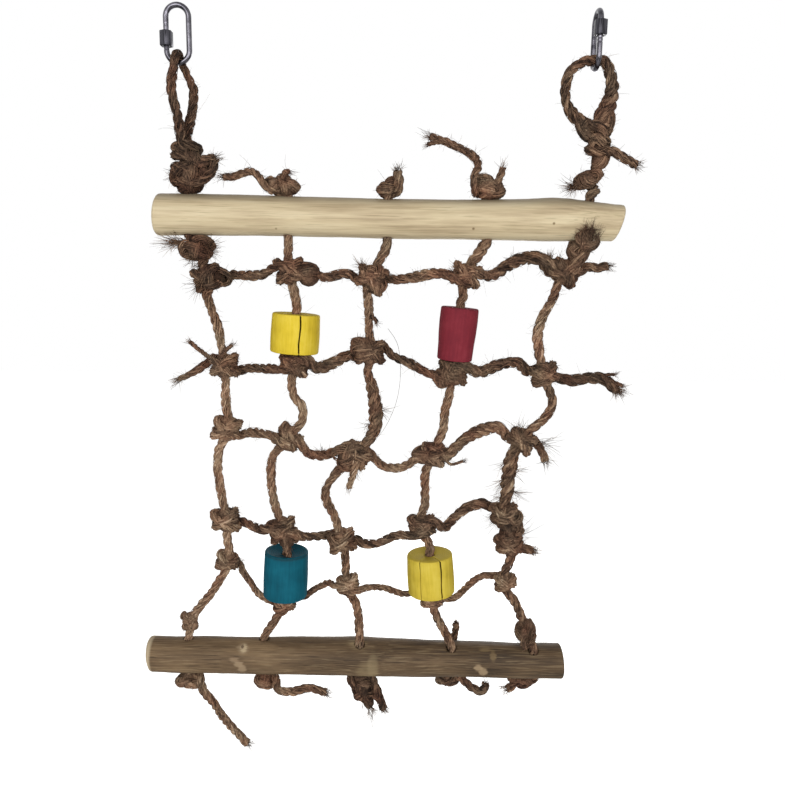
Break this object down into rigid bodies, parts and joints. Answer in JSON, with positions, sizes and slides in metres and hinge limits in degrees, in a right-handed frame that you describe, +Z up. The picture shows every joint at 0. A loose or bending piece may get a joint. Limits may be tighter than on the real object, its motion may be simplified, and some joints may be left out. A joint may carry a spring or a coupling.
{
  "type": "bird climbing net",
  "caption": "Hanging rope net for pet birds: branch perches above and below a knotted coir net strung with dyed wooden beads, hung on steel quick links.",
  "frame": {"origin": "on the bar that carries both quick links, halfway between the outer holes of the top perch, where the bar touches the inside of the links' tops", "axes": "+Z up; X along the perches, the red bead's side is +X; the viewer of the picture is on the -Y side"},
  "size_m": [0.3185, 0.0333, 0.4966],
  "materials": {
    "coir_rope": "coarse brown fibre rope",
    "coir_rope_dark": "thinner, darker brown fibre rope",
    "peeled_branch": "pale peeled branch",
    "brown_branch": "brown branch with thin bark",
    "yellow_dyed_wood": "matt yellow dye",
    "red_dyed_wood": "matt dark red dye",
    "teal_dyed_wood": "matt teal dye",
    "lime_yellow_dyed_wood": "matt greenish yellow dye",
    "zinc_plated_steel": "zinc plated"
  },
  "bodies": {
    "hangers": {"quick_link_left": "zinc_plated_steel", "quick_link_right": "zinc_plated_steel"},
    "top": {"top_perch": "peeled_branch", "hanging_rope_left": "coir_rope", "hanging_rope_right": "coir_rope", "upright_2_top": "coir_rope", "upright_3_top": "coir_rope", "upright_4_top": "coir_rope", "cross_rope_1": "coir_rope", "tail_top_2": "coir_rope", "tail_top_4": "coir_rope"},
    "band_upper": {"upright_1_upper": "coir_rope", "upright_2_upper": "coir_rope", "upright_3_upper": "coir_rope", "upright_4_upper": "coir_rope", "upright_5_upper": "coir_rope", "cross_rope_2": "coir_rope", "tail_row_2": "coir_rope"},
    "band_middle": {"upright_1_middle": "coir_rope", "upright_2_middle": "coir_rope", "upright_3_middle": "coir_rope", "upright_4_middle": "coir_rope", "upright_5_middle": "coir_rope", "cross_rope_3": "coir_rope"},
    "band_lower": {"upright_1_lower": "coir_rope", "upright_2_lower": "coir_rope", "upright_3_lower": "coir_rope", "upright_4_lower": "coir_rope", "upright_5_lower": "coir_rope", "cross_rope_4": "coir_rope", "cross_rope_5": "coir_rope_dark"},
    "base": {"bottom_perch": "brown_branch", "foot_1": "coir_rope", "foot_2": "coir_rope", "foot_3": "coir_rope", "foot_4": "coir_rope", "foot_5": "coir_rope", "tail_foot_1": "coir_rope", "tail_foot_2": "coir_rope"},
    "bead_yellow_upper": {"bead_yellow_upper": "yellow_dyed_wood"},
    "bead_red": {"bead_red": "red_dyed_wood"},
    "bead_teal": {"bead_teal": "teal_dyed_wood"},
    "bead_yellow_lower": {"bead_yellow_lower": "lime_yellow_dyed_wood"},
    "sleeve_left": {"link_sleeve_left": "zinc_plated_steel"},
    "sleeve_right": {"link_sleeve_right": "zinc_plated_steel"}
  },
  "joints": [
    {"name": "net_swing", "type": "hinge", "parent": "hangers", "child": "top", "pos_m": [-0.13, 0, -0.0314], "axis": [0.9998, 0, 0.0195], "range_deg": [-50, 50]},
    {"name": "fold_1", "type": "hinge", "parent": "top", "child": "band_upper", "pos_m": [0, 0, -0.1716], "axis": [1, 0, 0], "range_deg": [-45, 45]},
    {"name": "fold_2", "type": "hinge", "parent": "band_upper", "child": "band_middle", "pos_m": [0, 0, -0.2385], "axis": [1, 0, 0], "range_deg": [-45, 45]},
    {"name": "fold_3", "type": "hinge", "parent": "band_middle", "child": "band_lower", "pos_m": [0, 0, -0.3015], "axis": [1, 0, 0], "range_deg": [-45, 45]},
    {"name": "fold_4", "type": "hinge", "parent": "band_lower", "child": "base", "pos_m": [0, 0, -0.3925], "axis": [1, 0, 0], "range_deg": [-45, 45]},
    {"name": "bead_yellow_upper_spin", "type": "hinge", "parent": "band_upper", "child": "bead_yellow_upper", "pos_m": [-0.06008, 0, -0.20916], "axis": [0.059, 0, 0.9983], "continuous": true},
    {"name": "bead_red_spin", "type": "hinge", "parent": "band_upper", "child": "bead_red", "pos_m": [0.04476, 0, -0.21247], "axis": [0.0801, 0, 0.9968], "continuous": true},
    {"name": "bead_teal_spin", "type": "hinge", "parent": "band_lower", "child": "bead_teal", "pos_m": [-0.0675, 0, -0.37646], "axis": [0.0428, 0, 0.9991], "continuous": true},
    {"name": "bead_yellow_lower_spin", "type": "hinge", "parent": "band_lower", "child": "bead_yellow_lower", "pos_m": [0.03368, 0, -0.37247], "axis": [-0.0739, 0, 0.9973], "continuous": true},
    {"name": "sleeve_left_open", "type": "slide", "parent": "hangers", "child": "sleeve_left", "axis": [0, 0, 1], "range_m": [0, 0.0072]},
    {"name": "sleeve_right_open", "type": "slide", "parent": "hangers", "child": "sleeve_right", "axis": [0, 0, -1], "range_m": [0, 0.0072]}
  ]
}
